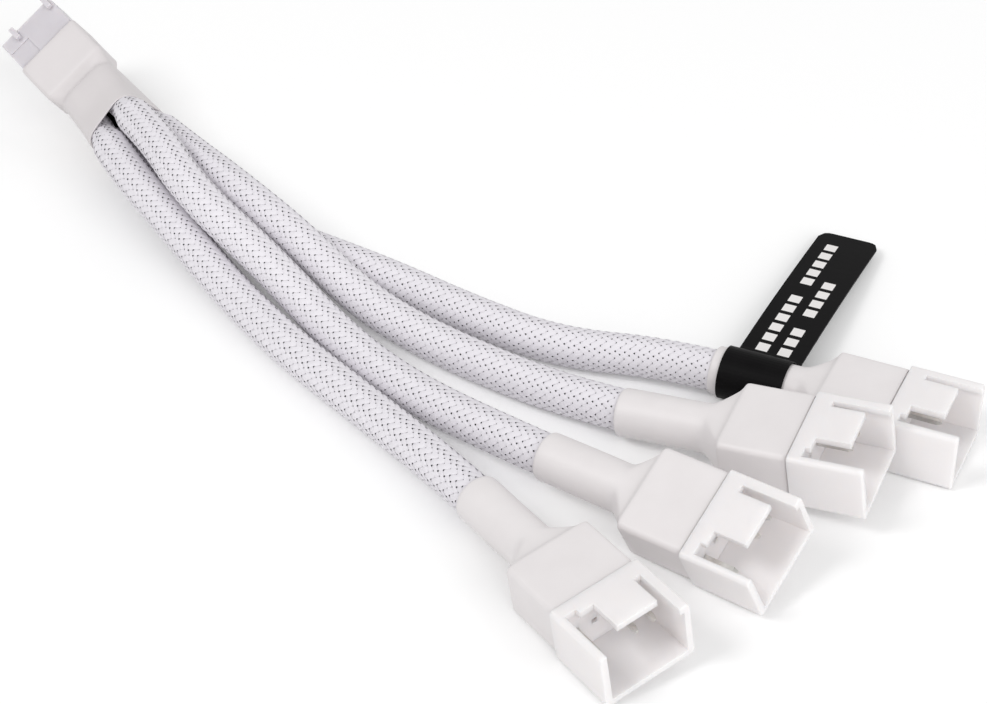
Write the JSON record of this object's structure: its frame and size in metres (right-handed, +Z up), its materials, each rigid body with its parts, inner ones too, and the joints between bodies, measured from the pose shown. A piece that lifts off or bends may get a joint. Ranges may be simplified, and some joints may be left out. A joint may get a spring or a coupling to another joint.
{
  "type": "fan splitter cable",
  "caption": "Short white sleeved cable that branches from a keyed female fan plug to a spread of keyed shrouded sockets, with shrink boots and a folded black label flag.",
  "frame": {"origin": "on the surface that the cable lies on, under the middle of its connectors", "axes": "+Z up from that surface, +Y from the sockets towards the plug, +X towards the flagged socket"},
  "size_m": [0.1349, 0.1317, 0.0176],
  "materials": {
    "plug_nylon": "satin, slightly milky nylon",
    "socket_nylon": "satin moulded nylon",
    "shrink_boot": "soft satin shrink tube",
    "braided_sleeve": "woven from flat white monofilament ribbons",
    "wire_jacket": "satin black insulation",
    "splice_potting": "dull black potting",
    "tinned_contact": "bright tin plate",
    "label_film": "black film with a slight gloss"
  },
  "bodies": {
    "root": {"label_flag": "label_film", "plug_boot": "shrink_boot", "plug_contact_control": "tinned_contact", "plug_contact_ground": "tinned_contact", "plug_contact_speed": "tinned_contact", "plug_contact_supply": "tinned_contact", "plug_housing": "plug_nylon", "plug_lead_control": "wire_jacket", "plug_lead_ground": "wire_jacket", "plug_lead_speed": "wire_jacket", "plug_lead_supply": "wire_jacket", "plug_splice": "splice_potting", "sleeve_1": "braided_sleeve", "sleeve_2": "braided_sleeve", "sleeve_3": "braided_sleeve", "sleeve_4": "braided_sleeve", "socket_1_boot": "shrink_boot", "socket_1_housing": "socket_nylon", "socket_1_pin_control": "tinned_contact", "socket_1_pin_ground": "tinned_contact", "socket_1_pin_supply": "tinned_contact", "socket_2_boot": "shrink_boot", "socket_2_housing": "socket_nylon", "socket_2_pin_control": "tinned_contact", "socket_2_pin_ground": "tinned_contact", "socket_2_pin_supply": "tinned_contact", "socket_3_boot": "shrink_boot", "socket_3_housing": "socket_nylon", "socket_3_pin_control": "tinned_contact", "socket_3_pin_ground": "tinned_contact", "socket_3_pin_supply": "tinned_contact", "socket_4_boot": "shrink_boot", "socket_4_housing": "socket_nylon", "socket_4_pin_control": "tinned_contact", "socket_4_pin_ground": "tinned_contact", "socket_4_pin_speed": "tinned_contact", "socket_4_pin_supply": "tinned_contact", "wire_1_control": "wire_jacket", "wire_1_ground": "wire_jacket", "wire_1_supply": "wire_jacket", "wire_2_control": "wire_jacket", "wire_2_ground": "wire_jacket", "wire_2_supply": "wire_jacket", "wire_3_control": "wire_jacket", "wire_3_ground": "wire_jacket", "wire_3_supply": "wire_jacket", "wire_4_control": "wire_jacket", "wire_4_ground": "wire_jacket", "wire_4_speed": "wire_jacket", "wire_4_supply": "wire_jacket"}
  },
  "joints": []
}
